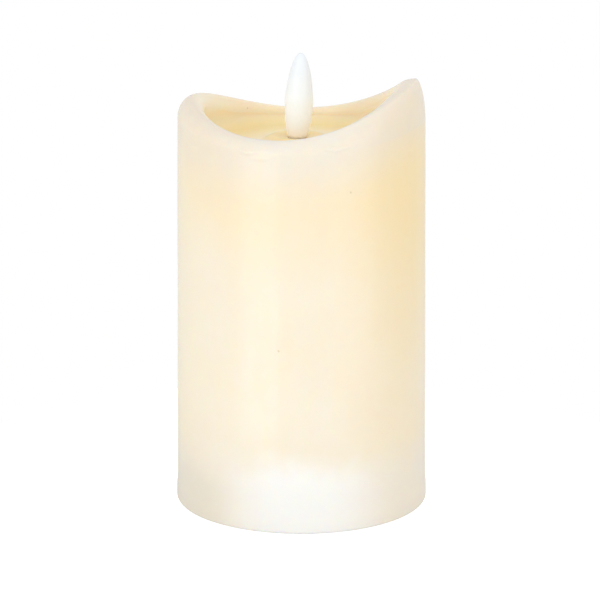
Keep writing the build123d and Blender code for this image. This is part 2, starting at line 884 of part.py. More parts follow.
def make_screws(name, places, head_end, head_radius, head_height, shank_radius, shank_length, points_up):
    """Pan-head self-tapping screws with a cross recess; head_end is the height of the heads' outer faces."""
    way = 1 if points_up else -1
    head_plane = Plane(origin=(0, 0, head_end), x_dir=(1, 0, 0), z_dir=(0, 0, way))
    local_places = [(x, way * y) for x, y in places]
    with BuildPart() as screws:
        with BuildSketch(head_plane):
            with Locations(*local_places):
                Circle(head_radius)
        extrude(amount=head_height)
        crowns = screws.edges().group_by(Axis((0, 0, 0), (0, 0, way)))[0]
        fillet(crowns, radius=0.35 * head_height)
        with BuildSketch(head_plane.offset(head_height - 0.1)):
            with Locations(*local_places):
                Circle(shank_radius)
        extrude(amount=shank_length + 0.1)
        tips = screws.edges().group_by(Axis((0, 0, 0), (0, 0, way)))[-1]
        chamfer(tips, length=0.6 * shank_radius)
        with BuildSketch(head_plane):
            with Locations(*local_places):
                Rectangle(1.2 * head_radius, 0.5)
                Rectangle(0.5, 1.2 * head_radius)
        extrude(amount=0.7 * head_height, mode=Mode.SUBTRACT)
    save(screws, name)


make_screws("housing_screws", housing_screw_places, 2.4, 2.2, 1.6, 1.1, 10.0, True)
make_screws("board_screws", board_screw_places, board_top + 1.3, 1.7, 1.3, 0.8, 5.0, False)

glue_arc = 36.0

with BuildPart() as glue_beads:
    for angle in (20, 110, 200, 290):
        with BuildSketch(Plane.XZ.rotated((0, 0, angle))):
            with BuildLine():
                Line((socket_radius - 2.8, cover_top), (socket_radius, cover_top))
                Line((socket_radius, cover_top), (socket_radius, cover_top + 2.8))
                ThreePointArc(
                    (socket_radius, cover_top + 2.8),
                    (socket_radius - 0.9, cover_top + 1.3),
                    (socket_radius - 2.8, cover_top),
                )
            make_face()
        revolve(axis=Axis.Z, revolution_arc=glue_arc)
save(glue_beads, "glue_beads")
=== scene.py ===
import bmesh
import bpy
from math import cos, exp, pi, radians, sin
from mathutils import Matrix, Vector, noise


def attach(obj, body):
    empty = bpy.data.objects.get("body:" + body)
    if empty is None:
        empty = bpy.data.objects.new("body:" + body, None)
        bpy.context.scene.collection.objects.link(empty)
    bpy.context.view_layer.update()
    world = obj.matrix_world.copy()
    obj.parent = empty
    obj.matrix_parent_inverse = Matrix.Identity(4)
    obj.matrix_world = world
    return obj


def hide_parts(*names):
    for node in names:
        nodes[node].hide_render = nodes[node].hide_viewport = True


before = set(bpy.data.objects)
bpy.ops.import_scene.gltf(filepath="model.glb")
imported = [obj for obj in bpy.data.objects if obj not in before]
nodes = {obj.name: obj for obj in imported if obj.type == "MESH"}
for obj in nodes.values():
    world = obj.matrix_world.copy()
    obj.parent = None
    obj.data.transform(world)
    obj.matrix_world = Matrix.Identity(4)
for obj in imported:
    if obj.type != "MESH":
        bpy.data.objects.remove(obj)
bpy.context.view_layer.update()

MM = 0.001

# Colours of the wax and the flame
WAX_BODY = (0.878, 0.808, 0.676)
WAX_BODY_DEEP = (0.875, 0.789, 0.636)
# The wax's golden tone, under the rim and, as painted shade, on the right side
WAX_GOLDEN_AND_SHADE = (0.912, 0.720, 0.400)
WAX_FOOT = (0.935, 0.915, 0.875)
# Painted shade: the foot's colour towards its sides
WAX_FOOT_SIDE_SHADE = (0.860, 0.775, 0.645)
WAX_RIM = (0.812, 0.770, 0.695)
# Painted shade: the rim's colour towards its sides
WAX_RIM_SIDE_SHADE = (0.800, 0.716, 0.592)
# Painted shade: the greyer patch at the front left of the foot
WAX_FOOT_SHADE = (0.720, 0.690, 0.570)
# Painted shade: the dish's wall, floor and mound, deeper towards the floor
WAX_INNER_WALL_SHADE = (0.990, 0.865, 0.680)
WAX_DISH_SHADE = (0.995, 0.735, 0.315)
WAX_MOUND_SHADE = (0.990, 0.710, 0.290)
WAX_SPECK = (0.560, 0.430, 0.260)
WAX_FLECK = (0.945, 0.900, 0.790)
# The streaks' colour, also used as painted shade along the left edge
WAX_STREAK_AND_SHADE = (0.900, 0.780, 0.540)
FLAME_WHITE = (0.920, 0.970, 1.000)
FLAME_COOL = (0.790, 0.815, 0.840)
# Painted reflection of the warm wax, at the flame's foot
FLAME_WARM_REFLECTION = (0.925, 0.890, 0.850)

# Where the wax and the flame change colour, in metres; the bounds of the golden right side, the left edge, the
# sides and the patch at the foot place painted shade, and the flame's foot bound places a painted reflection
UNDER_RIM_Z = (0.070, 0.104)
GOLDEN_SHADE_X = (0.004, 0.036)
GOLDEN_SHADE_Z = (0.030, 0.100)
LEFT_EDGE_SHADE_X = (-0.0375, -0.026)
FOOT_EDGE_Z = (0.0145, 0.0275)
SIDE_SHADE_X = (0.006, 0.034)
FOOT_SHADE_X = (-0.030, -0.016)
FOOT_SHADE_Y = (-0.004, 0.004)
FOOT_SHADE_Z = (0.010, 0.022)
FLAME_REFLECTION_Z = (0.1118, 0.1180)
FLAME_TIP_Z = (0.120, 0.131)

# Distance between the wax's specks, in millimetres
SPECK_SPACING = 11


# ---------------------------------------------------------------------------------------------------------
# Materials
# ---------------------------------------------------------------------------------------------------------


def new_material(name):
    """A material with a Principled shader: (material, its node tree, the shader)."""
    material = bpy.data.materials.new(name)
    material.use_nodes = True
    tree = material.node_tree
    shader = next(n for n in tree.nodes if n.type == "BSDF_PRINCIPLED")
    return material, tree, shader


def object_coordinates(tree, scale=(1, 1, 1)):
    """The object's own coordinates, in metres, stretched by scale."""
    source = tree.nodes.new("ShaderNodeTexCoord")
    mapping = tree.nodes.new("ShaderNodeMapping")
    mapping.inputs["Scale"].default_value = scale
    tree.links.new(source.outputs["Object"], mapping.inputs["Vector"])
    return mapping.outputs["Vector"]


def noise_value(tree, size_mm, detail=2.0, roughness=0.5, stretch=(1, 1, 1)):
    """Noise with features of about size_mm."""
    texture = tree.nodes.new("ShaderNodeTexNoise")
    texture.inputs["Scale"].default_value = 1 / (size_mm * MM)
    texture.inputs["Detail"].default_value = detail
    texture.inputs["Roughness"].default_value = roughness
    tree.links.new(object_coordinates(tree, stretch), texture.inputs["Vector"])
    return texture.outputs["Fac"]


def remap(tree, value, low, high, to_low=0.0, to_high=1.0, smooth=False):
    """Value from low to high becomes to_low to to_high."""
    node = tree.nodes.new("ShaderNodeMapRange")
    node.interpolation_type = "SMOOTHSTEP" if smooth else "LINEAR"
    node.inputs["From Min"].default_value = low
    node.inputs["From Max"].default_value = high
    node.inputs["To Min"].default_value = to_low
    node.inputs["To Max"].default_value = to_high
    tree.links.new(value, node.inputs["Value"])
    return node.outputs["Result"]


def combine(tree, operation, a, b):
    """Math on two values, each a socket or a number."""
    node = tree.nodes.new("ShaderNodeMath")
    node.operation = operation
    for i, value in enumerate((a, b)):
        if isinstance(value, (int, float)):
            node.inputs[i].default_value = value
        else:
            tree.links.new(value, node.inputs[i])
    return node.outputs["Value"]


def mix_colour(tree, factor, a, b):
    """Colour a turned into b by factor; each colour is a socket or three numbers."""
    node = tree.nodes.new("ShaderNodeMix")
    node.data_type = "RGBA"
    colour_inputs = [s for s in node.inputs if s.type == "RGBA"]
    factor_input = next(s for s in node.inputs if s.type == "VALUE" and s.enabled)
    for socket, value in zip(colour_inputs, (a, b)):
        if isinstance(value, tuple):
            socket.default_value = (*value, 1.0)
        else:
            tree.links.new(value, socket)
    if isinstance(factor, (int, float)):
        factor_input.default_value = factor
    else:
        tree.links.new(factor, factor_input)
    return next(s for s in node.outputs if s.type == "RGBA")


def add_bump(tree, shader, heights):
    """Bumps, one over another: (height socket, depth in mm) pairs."""
    normal = None
    for height, depth_mm in heights:
        bump = tree.nodes.new("ShaderNodeBump")
        bump.inputs["Strength"].default_value = 1.0
        bump.inputs["Distance"].default_value = depth_mm * MM
        tree.links.new(height, bump.inputs["Height"])
        if normal is not None:
            tree.links.new(normal, bump.inputs["Normal"])
        normal = bump.outputs["Normal"]
    tree.links.new(normal, shader.inputs["Normal"])


def grained(name, light, dark, rough, grain_mm, depth_mm, blotch_mm=6.0, stretch=(1, 1, 1), metal=0.0, **sockets):
    """A surface with blotches between two colours, grain in its bump and changes in its gloss."""
    material, tree, shader = new_material(name)
    blotches = noise_value(tree, blotch_mm, 4.0, 0.6, stretch)
    grain = noise_value(tree, grain_mm, 3.0, 0.55, stretch)
    tone = remap(tree, blotches, 0.3, 0.7)
    tree.links.new(mix_colour(tree, tone, dark, light), shader.inputs["Base Color"])
    tree.links.new(remap(tree, grain, 0.25, 0.75, rough[0], rough[1]), shader.inputs["Roughness"])
    add_bump(tree, shader, [(grain, depth_mm), (blotches, depth_mm)])
    shader.inputs["Metallic"].default_value = metal
    for socket, value in sockets.items():
        shader.inputs[socket.replace("_", " ")].default_value = value
    return material


def wax_material():
    """Ivory paraffin wax: a white foot band, a pale rim, a golden dish and a golden right side, faint mottling,
    streaks and specks; the dish's gold, the right side's gold and the darker sides are painted shade.
    """
    material, tree, shader = new_material("ivory_wax")
    separate = tree.nodes.new("ShaderNodeSeparateXYZ")
    tree.links.new(object_coordinates(tree), separate.inputs["Vector"])
    across, along, up = separate.outputs

    def painted(name):
        attribute = tree.nodes.new("ShaderNodeAttribute")
        attribute.attribute_name = name
        return attribute.outputs["Fac"]

    clouds = noise_value(tree, 22, 3.0, 0.5)
    mottles = noise_value(tree, 3.2, 4.0, 0.6)
    drips = noise_value(tree, 7, 3.0, 0.5, (1, 1, 0.5))
    streaks = noise_value(tree, 3.0, 3.0, 0.55, (1, 1, 0.09))
    grain = noise_value(tree, 0.35, 3.0, 0.6)

    body = mix_colour(tree, remap(tree, clouds, 0.35, 0.65), WAX_BODY_DEEP, WAX_BODY)
    # The wall is deeper under the rim, and deeper still on the right, where the tone is painted shade on the side
    # away from the key light
    under_rim = combine(tree, "MULTIPLY", remap(tree, up, *UNDER_RIM_Z, smooth=True), 0.45)
    body = mix_colour(tree, under_rim, body, WAX_GOLDEN_AND_SHADE)
    right_shade = remap(tree, across, *GOLDEN_SHADE_X, smooth=True)
    height = remap(tree, up, *GOLDEN_SHADE_Z, 0.36, 1.0, smooth=True)
    golden = combine(tree, "MULTIPLY", right_shade, height)
    body = mix_colour(tree, golden, body, WAX_GOLDEN_AND_SHADE)
    # Painted shade along the left edge
    left_edge_shade = remap(tree, across, *LEFT_EDGE_SHADE_X, 0.55, 0.0, smooth=True)
    body = mix_colour(tree, left_edge_shade, body, WAX_STREAK_AND_SHADE)
    # The white base inside shows through the foot of the wall, up to a soft, uneven line
    edge = combine(tree, "ADD", up, remap(tree, clouds, 0.3, 0.7, -0.0036, 0.0036))
    edge = combine(tree, "ADD", edge, remap(tree, drips, 0.3, 0.7, -0.0012, 0.0012))
    foot = remap(tree, edge, *FOOT_EDGE_Z, 1.0, 0.0, smooth=True)
    # Painted shade: the foot turns creamier towards both sides
    side_shade = remap(tree, combine(tree, "ABSOLUTE", across, 0.0), *SIDE_SHADE_X, smooth=True)
    body = mix_colour(tree, foot, body, mix_colour(tree, side_shade, WAX_FOOT, WAX_FOOT_SIDE_SHADE))
    # Painted shade: a darker, greyer patch at the front left of the foot
    foot_shade_left = remap(tree, across, *FOOT_SHADE_X, 1.0, 0.0, smooth=True)
    foot_shade_low = remap(tree, edge, *FOOT_SHADE_Z, 1.0, 0.0, smooth=True)
    foot_shade_front = remap(tree, along, *FOOT_SHADE_Y, 0.4, 0.0)
    foot_shade = combine(tree, "MULTIPLY", combine(tree, "MULTIPLY", foot_shade_left, foot_shade_low), foot_shade_front)
    body = mix_colour(tree, foot_shade, body, WAX_FOOT_SHADE)
    # The pale rim, with painted shade towards both sides
    body = mix_colour(tree, painted("rim"), body, mix_colour(tree, side_shade, WAX_RIM, WAX_RIM_SIDE_SHADE))
    # Painted shade in the dish: pale on its wall, deepening towards its floor and the mound
    inside = painted("dish")
    hollow_shade = mix_colour(tree, remap(tree, inside, 0.4, 1.0), WAX_INNER_WALL_SHADE, WAX_DISH_SHADE)
    body = mix_colour(tree, remap(tree, inside, 0.0, 0.4), body, hollow_shade)
    body = mix_colour(tree, painted("mound"), body, WAX_MOUND_SHADE)
    # Mottling and streaks, both faint
    body = mix_colour(tree, remap(tree, mottles, 0.35, 0.75, 0.0, 0.06), body, WAX_FLECK)
    streaked = combine(tree, "MULTIPLY", remap(tree, streaks, 0.45, 0.75), remap(tree, foot, 0, 1, 0.18, 0.04))
    body = mix_colour(tree, streaked, body, WAX_STREAK_AND_SHADE)
    # A few dark specks, each a small pit
    cells = tree.nodes.new("ShaderNodeTexVoronoi")
    cells.inputs["Scale"].default_value = 1 / (SPECK_SPACING * MM)
    tree.links.new(object_coordinates(tree), cells.inputs["Vector"])
    specks = remap(tree, cells.outputs["Distance"], 0.020, 0.036, 1.0, 0.0)
    body = mix_colour(tree, combine(tree, "MULTIPLY", specks, 0.45), body, WAX_SPECK)
    tree.links.new(body, shader.inputs["Base Color"])
    tree.links.new(remap(tree, mottles, 0.3, 0.7, 0.40, 0.54), shader.inputs["Roughness"])
    shader.inputs["Subsurface Weight"].default_value = 0.65
    shader.inputs["Subsurface Radius"].default_value = (1.0, 0.72, 0.42)
    shader.inputs["Subsurface Scale"].default_value = 2.6 * MM
    shader.inputs["Specular IOR Level"].default_value = 0.25
    shader.inputs["Coat Weight"].default_value = 0.55
    shader.inputs["Coat Roughness"].default_value = 0.17
    pits = combine(tree, "MULTIPLY", specks, -1.0)
    add_bump(tree, shader, [(clouds, 0.10), (mottles, 0.030), (streaks, 0.015), (grain, 0.004), (pits, 0.06)])
    return material


def flame_material():
    """Frosted white plastic, greyer at the tip, with a painted reflection of the warm wax at its foot and a trace
    of painted glow.
    """
    material, tree, shader = new_material("flame_plastic")
    separate = tree.nodes.new("ShaderNodeSeparateXYZ")
    tree.links.new(object_coordinates(tree), separate.inputs["Vector"])
    up = separate.outputs[2]
    soft = noise_value(tree, 5, 3.0, 0.5)
    frost = noise_value(tree, 0.25, 3.0, 0.6)
    flow = noise_value(tree, 1.6, 3.0, 0.5, (1, 1, 0.15))
    uneven = combine(tree, "ADD", up, remap(tree, soft, 0.3, 0.7, -0.001, 0.001))
    plastic = mix_colour(tree, remap(tree, uneven, *FLAME_TIP_Z), FLAME_WHITE, FLAME_COOL)
    plastic = mix_colour(tree, remap(tree, flow, 0.45, 0.75, 0.0, 0.12), plastic, FLAME_COOL)
    # Painted reflection of the warm wax at the flame's foot
    warm_reflection = remap(tree, up, *FLAME_REFLECTION_Z, 0.95, 0.0, smooth=True)
    plastic = mix_colour(tree, warm_reflection, plastic, FLAME_WARM_REFLECTION)
    tree.links.new(plastic, shader.inputs["Base Color"])
    tree.links.new(remap(tree, frost, 0.3, 0.7, 0.34, 0.46), shader.inputs["Roughness"])
    shader.inputs["Subsurface Weight"].default_value = 0.25
    shader.inputs["Subsurface Radius"].default_value = (1.0, 1.0, 0.95)
    shader.inputs["Subsurface Scale"].default_value = 0.5 * MM
    shader.inputs["Specular IOR Level"].default_value = 0.4
    # Painted light: a trace of blue glow, to keep the plastic white beside the warm wax
    shader.inputs["Emission Color"].default_value = (0.50, 0.78, 1.0, 1)
    shader.inputs["Emission Strength"].default_value = 0.075
    add_bump(tree, shader, [(soft, 0.03), (frost, 0.004)])
    return material


# ---------------------------------------------------------------------------------------------------------
# Meshes
# ---------------------------------------------------------------------------------------------------------


def ring_piece(name, rings, material, replaced, tones=None, caps=False):
    """A closed skin through rings of points. Without caps, the last ring joins the first."""
    around = len(rings[0])
    points = [point for ring in rings for point in ring]
    faces = []
    for i in range(len(rings) - (1 if caps else 0)):
        j = (i + 1) % len(rings)
        for k in range(around):
            n = (k + 1) % around
            faces.append((i * around + k, i * around + n, j * around + n, j * around + k))
    if caps:
        for ring_start, tip in ((0, caps[0]), ((len(rings) - 1) * around, caps[1])):
            points.append(tip)
            for k in range(around):
                faces.append((ring_start + k, ring_start + (k + 1) % around, len(points) - 1))
    mesh = bpy.data.meshes.new(name)
    mesh.from_pydata([Vector(p) * MM for p in points], [], faces)
    for tone, values in (tones or {}).items():
        layer = mesh.attributes.new(tone, "FLOAT", "POINT")
        layer.data.foreach_set("value", values)
    work = bmesh.new()
    work.from_mesh(mesh)
    bmesh.ops.recalc_face_normals(work, faces=work.faces)
    work.to_mesh(mesh)
    work.free()
    for face in mesh.polygons:
        face.use_smooth = True
    mesh.materials.append(material)
    piece = bpy.data.objects.new(name, mesh)
    bpy.context.scene.collection.objects.link(piece)
    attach(piece, "candle")
    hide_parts(replaced)
    return piece


def wave(terms, angle):
    """A constant, then the cosine and sine shares of one turn, two turns and so on."""
    total = terms[0]
    for i, share in enumerate(terms[1:]):
        turns = i // 2 + 1
        total += share * (sin(turns * angle) if i % 2 else cos(turns * angle))
    return total


def smooth(value, low, high):
    """0 below low, 1 above high, and smooth between."""
    t = min(1.0, max(0.0, (value - low) / (high - low)))
    return t * t * (3 - 2 * t)


# Sizes of the wax, in millimetres; the heights and widths of the rim change round the candle
core_x = -1.2
flame_base = 111.6
foot_radius = 38.1
foot_edge = 1.0
wall_start = 8.6
wax_bottom = 0.4
side_low = (8.0, 37.8)
side_high = (134.0, 36.5)
socket_radius = 33.0
socket_top = 26.0
cavity_radius = 30.2
cavity_top = 102.5
cavity_corner = 4.0
dish_radius = 29.6
dish_floor = 110.8
dish_corner = 5.0
mound_radius = 11.0
mound_crest_radius = 7.4
mound_crest = 112.2
wick_hole_radius = 2.75
rim_height = (120.86, 2.81, -1.20, 5.07, -1.42, 0.26, 0.25)
ridge_radius = (33.56, 0.45, 0.76, -0.27)
shoulder_drop = (6.3, 3.9, -0.28, 2.15)
shoulder_power = 2 / 1.82
lip_width = (3.4, 0.8, -0.9, 1.3)
lip_drop = (3.7, -0.55, 0.0, -0.33)
wax_steps = 360
foot_round_rows = 6
foot_rows = 8
wall_rows = 90
shoulder_rows = 24
lip_rows = 10
inner_wall_rows = 8
corner_rows = 9
floor_rows = 8
mound_rows = 10
crest_rows = 8


def side_radius(z):
    """Radius of the plain wall at height z."""
    share = (z - side_low[0]) / (side_high[0] - side_low[0])
    return side_low[1] + (side_high[1] - side_low[1]) * share


# Faint creases left where the wax ran and set: angle, height, half length, half height, how far they stand out
creases = (
    (-114.5, 113.4, 3.4, 0.50, 0.34),
    (-109.0, 111.9, 2.6, 0.45, 0.24),
    (-74.5, 114.6, 4.4, 0.50, 0.38),
    (-150.0, 112.0, 3.6, 0.50, 0.20),
    (-31.0, 110.5, 1.6, 0.45, 0.16),
    (38.0, 112.0, 4.0, 0.50, 0.20),
    (112.0, 109.0, 3.4, 0.50, 0.20),
)


def side_swell(angle, z):
    """Small unevenness of the cast wall, outwards in millimetres."""
    place = Vector((cos(angle) * 1.4, sin(angle) * 1.4, z / 38))
    fine = Vector((cos(angle) * 5.0, sin(angle) * 5.0, z / 9))
    swell = 0.10 * noise.noise(place) + 0.035 * noise.noise(fine + Vector((7, 3, 1)))
    for turn, height, half_length, half_height, stand in creases:
        along = side_high[1] * sin(angle - radians(turn))
        if cos(angle - radians(turn)) > 0 and abs(along) < 3 * half_length:
            bend = 0.05 * along * along
            swell += stand * exp(-((along / half_length) ** 2) - ((z - height - bend) / half_height) ** 2)
    return swell


def wax_profile(angle):
    """The wax's section at one angle, from the foot over the rim, down the dish and back inside:
    (radius, height, share of the core's offset, rim tone, dish tone, mound tone); the dish and mound tones are
    painted shade."""
    top = wave(rim_height, angle)
    ridge = wave(ridge_radius, angle)
    drop = wave(shoulder_drop, angle)
    rows = []
    for i in range(foot_round_rows):
        turn = pi / 2 * (i / (foot_round_rows - 1) - 1)
        r = foot_radius - foot_edge * (1 - cos(turn))
        rows.append((r, wax_bottom + foot_edge * (1 + sin(turn)), 0, 0, 0, 0))
    for i in range(1, foot_rows + 1):
        z = wall_start + (i / foot_rows - 1) * (wall_start - wax_bottom - foot_edge)
        r = foot_radius + (side_radius(z) - foot_radius) * smooth(z, 3.5, wall_start)
        rows.append((r, z, 0, 0, 0, 0))
    wall_top = top - drop
    for i in range(1, wall_rows + 1):
        share = i / wall_rows
        z = wall_start + (wall_top - wall_start) * (1.35 * share - 0.35 * share**3)
        r = side_radius(z) + side_swell(angle, z) * smooth(z, 10, 22)
        rows.append((r, z, 0, smooth(z, top - 24, top - 3) * 0.8, 0, 0))
    shoulder = side_radius(wall_top)
    for i in range(1, shoulder_rows + 1):
        turn = pi / 2 * (1 - i / shoulder_rows)
        z = top - drop * (1 - cos(turn) ** shoulder_power)
        r = ridge + (shoulder - ridge) * sin(turn) ** shoulder_power + side_swell(angle, z) * sin(turn)
        rows.append((r, z, 0, 0.8 + 0.2 * smooth(z, top - 4, top), 0, 0))
    # Lip, inner wall and the dish's corner
    depth = top - dish_floor
    lip = min(wave(lip_drop, angle), 0.5 * depth)
    width = wave(lip_width, angle)
    corner = min(dish_corner, 0.85 * (depth - lip))
    # The tones deepen sooner on the left, where the lip faces away from the key light: painted shade. At the back
    # the rim tone gives way sooner too.
    left = max(0.0, -cos(angle))
    back = smooth(sin(angle), -0.2, 0.4)
    for i in range(1, lip_rows + 1):
        turn = pi / 2 * i / lip_rows
        dish = 0.10 * back + smooth(i, 2 - 2 * left, 10 - 2 * left) * (0.30 + 0.12 * left - 0.10 * back)
        rim = (1 - dish * 2) * (1 - 0.5 * back)
        rows.append((ridge - width * sin(turn), top - lip * (1 - cos(turn)), 0, rim, dish, 0))
    wall_from = ridge - width
    wall_to = wall_from + (dish_radius - wall_from) * smooth(depth - lip - corner, 0, 9)
    for i in range(1, inner_wall_rows + 1):
        share = i / inner_wall_rows
        z = top - lip + (dish_floor + corner - top + lip) * share
        r = wall_from + (wall_to - wall_from) * smooth(share, 0, 1)
        rows.append((r, z, 0, 0.4 * (1 - share) * (1 - left), 0.30 + 0.12 * left + 0.30 * share, 0))
    for i in range(1, corner_rows + 1):
        turn = pi / 2 * i / corner_rows
        r = wall_to - (wall_to - dish_radius + dish_corner) * (1 - cos(turn))
        z = dish_floor + corner * (1 - sin(turn))
        rows.append((r, z, 0, 0, 0.60 + 0.12 * left + (0.40 - 0.12 * left) * i / corner_rows, 0))
    for i in range(1, floor_rows + 1):
        share = i / floor_rows
        r = dish_radius - dish_corner + (mound_radius - dish_radius + dish_corner) * share
        uneven = 0.10 * sin(pi * share) * noise.noise(Vector((r * cos(angle), r * sin(angle), 0)) / 7)
        rows.append((r, dish_floor + uneven, share, 0, 1 - 0.45 * share * share, 0.2 * share))
    for i in range(1, mound_rows + 1):
        share = i / mound_rows
        r = mound_radius + (mound_crest_radius - mound_radius) * share
        z = dish_floor + (mound_crest - dish_floor) * smooth(share, 0, 1)
        rows.append((r, z, 1, 0, 0.55 * (1 - share), 0.2 + 0.8 * share))
    for i in range(1, crest_rows + 1):
        share = i / crest_rows
        r = mound_crest_radius + (3.1 - mound_crest_radius) * share
        z = mound_crest + (flame_base - mound_crest) * smooth(share, 0, 1)
        rows.append((r, z, 1, 0, 0.15 * share, 1.0))
    for r, z in ((2.85, flame_base - 0.05), (wick_hole_radius, flame_base - 0.2), (wick_hole_radius, 107.0)):
        rows.append((r, z, 1, 0, 0.3, 1))
    # Inside: the cavity's roof, its walls and the socket over the base
    for r, share in ((wick_hole_radius, 1), (6.0, 1), (13.0, 0.6), (20.0, 0.2), (cavity_radius - cavity_corner, 0)):
        rows.append((r, cavity_top, share, 0, 0, 0))
    for i in range(1, 7):
        turn = pi / 2 * i / 6
        r = cavity_radius - cavity_corner * (1 - sin(turn))
        rows.append((r, cavity_top - cavity_corner * (1 - cos(turn)), 0, 0, 0, 0))
    for i in range(1, 13):
        share = i / 12
        z = cavity_top - cavity_corner + (socket_top - cavity_top + cavity_corner) * share
        rows.append((cavity_radius + (socket_radius - cavity_radius) * share, z, 0, 0, 0, 0))
    for z in (20.0, 13.0, 7.0, 2.0, wax_bottom):
        rows.append((socket_radius, z, 0, 0, 0, 0))
    rows.append((35.2, wax_bottom, 0, 0, 0, 0))
    return rows


def make_wax():
    """The wax shell, as one closed skin."""
    angles = [2 * pi * k / wax_steps for k in range(wax_steps)]
    profiles = [wax_profile(angle) for angle in angles]
    rings = []
    tones = {"rim": [], "dish": [], "mound": []}
    for row in range(len(profiles[0])):
        ring = []
        for angle, profile in zip(angles, profiles):
            r, z, share, rim, dish, mound = profile[row]
            ring.append((core_x * share + r * cos(angle), r * sin(angle), z))
            tones["rim"].append(rim)
            tones["dish"].append(dish)
            tones["mound"].append(mound)
        rings.append(ring)
    return ring_piece("wax_body", rings, wax_material(), "wax_shell", tones)


# Sizes of the flame, along its own leaning axis
flame_lean = radians(2.4)
flame_length = 25.0
flame_foot = 2.95
foot_rounding = 0.18
neck_radius = 2.55
neck_bore = 2.0
neck_bottom = 97.8
flame_steps = 96


def spline_value(knots, at):
    """A smooth curve through (place, value) knots, with level ends."""
    for i in range(len(knots) - 1):
        (x0, y0), (x1, y1) = knots[i], knots[i + 1]
        if at <= x1 or i == len(knots) - 2:
            before = knots[max(i - 1, 0)]
            after = knots[min(i + 2, len(knots) - 1)]
            slope0 = (y1 - before[1]) / (x1 - before[0])
            slope1 = (after[1] - y0) / (after[0] - x0)
            t = (at - x0) / (x1 - x0)
            span = x1 - x0
            return (
                (1 + 2 * t) * (1 - t) ** 2 * y0
                + t * (1 - t) ** 2 * span * slope0
                + t * t * (3 - 2 * t) * y1
                + t * t * (t - 1) * span * slope1
            )


# Half the flame's thickness squared, along its length: squared, because the tip is round
flame_outline = (
    (0.0, 8.6),
    (2.6, 12.3),
    (5.8, 15.5),
    (10.8, 17.6),
    (14.5, 14.9),
    (18.1, 11.0),
    (20.8, 7.1),
    (23.0, 3.6),
    (24.4, 1.05),
    (25.0, 0.0),
)
flame_hollow = ((0.9, 5.8), (5.0, 9.2), (10.5, 10.4), (15.5, 8.0), (19.0, 4.4), (21.6, 0.0))
flame_rows = 45
hollow_rows = 16


def make_flame():
    """The moulded flame with its neck, as one closed skin."""
    lean_x, lean_z = sin(flame_lean), cos(flame_lean)
    foot = Vector((core_x, 0, flame_base + flame_foot * lean_x))

    def ring(radius, z):
        return [(core_x + radius * cos(a), radius * sin(a), z) for a in angles]

    def leaning_ring(radius, along):
        points = []
        for a in angles:
            x = foot.x + along * lean_x + radius * cos(a) * lean_z
            z = foot.z + along * lean_z - radius * cos(a) * lean_x
            points.append((x, radius * sin(a), z))
        return points

    angles = [2 * pi * k / flame_steps for k in range(flame_steps)]
    tip = foot + Vector((lean_x, 0, lean_z)) * flame_length
    hollow_tip = foot + Vector((lean_x, 0, lean_z)) * flame_hollow[-1][0]
    rings = []
    for i in range(1, hollow_rows + 1):
        rise = sin(pi / 2 * (1 - i / hollow_rows))
        along = flame_hollow[0][0] + (flame_hollow[-1][0] - flame_hollow[0][0]) * rise
        rings.append(leaning_ring(max(0.02, spline_value(flame_hollow, along)) ** 0.5, along))
    rings.append(ring(neck_bore, flame_base))
    for z in (107.0, 102.0, neck_bottom):
        rings.append(ring(neck_bore, z))
    rings.append(ring(neck_radius - 0.15, neck_bottom))
    rings.append(ring(neck_radius, neck_bottom + 0.15))
    for z in (102.0, 107.0, flame_base - 0.12):
        rings.append(ring(neck_radius, z))
    rings.append(leaning_ring(flame_foot - foot_rounding, 0.0))
    rings.append(leaning_ring(flame_foot - 0.05, 0.05))
    for i in range(1, flame_rows):
        along = foot_rounding + (flame_length - foot_rounding) * sin(pi / 2 * i / flame_rows)
        rings.append(leaning_ring(max(0.0, spline_value(flame_outline, along)) ** 0.5, along))
    return ring_piece("flame", rings, flame_material(), "flame_diffuser", caps=(hollow_tip, tip))


make_wax()
make_flame()


# ---------------------------------------------------------------------------------------------------------
# Materials of the base, the cells and the electrics
# ---------------------------------------------------------------------------------------------------------


def dress(material, *names):
    """Gives a material to CAD nodes, whose shapes stay as they are."""
    for name in names:
        piece = nodes[name]
        if not piece.material_slots:
            piece.data.materials.append(material)
        for slot in piece.material_slots:
            slot.material = material


dress(
    grained("white_moulding", (0.84, 0.84, 0.82), (0.79, 0.79, 0.76), (0.38, 0.52), 0.22, 0.018, 9,
            Specular_IOR_Level=0.45, Subsurface_Weight=0.12, Subsurface_Scale=0.8 * MM),
    "base_housing", "upper_cover", "battery_door", "flame_holder",
)
dress(
    grained("natural_tube", (0.80, 0.79, 0.75), (0.74, 0.73, 0.69), (0.32, 0.46), 0.9, 0.01, 5, (1, 1, 0.12),
            Subsurface_Weight=0.2, Subsurface_Scale=1.0 * MM),
    "support_tube",
)
dress(
    grained("led_epoxy", (0.93, 0.80, 0.52), (0.90, 0.72, 0.42), (0.05, 0.12), 1.5, 0.004, 3,
            Transmission_Weight=0.75, IOR=1.52),
    "flame_led",
)
dress(
    grained("tinned_wire", (0.74, 0.74, 0.72), (0.60, 0.60, 0.58), (0.22, 0.38), 0.3, 0.008, 1.5, metal=1.0),
    "led_leads", "switch_terminals",
)
dress(
    grained("heat_shrink", (0.030, 0.030, 0.032), (0.020, 0.020, 0.022), (0.42, 0.60), 0.25, 0.015, 2),
    "heat_shrink_sleeves",
)
dress(
    grained("red_insulation", (0.52, 0.030, 0.022), (0.42, 0.020, 0.016), (0.28, 0.42), 0.5, 0.01, 3,
            Coat_Weight=0.15),
    "led_wire_positive", "battery_wire_positive",
)
dress(
    grained("black_insulation", (0.026, 0.026, 0.028), (0.016, 0.016, 0.018), (0.28, 0.42), 0.5, 0.01, 3,
            Coat_Weight=0.15),
    "led_wire_negative", "battery_wire_negative",
)
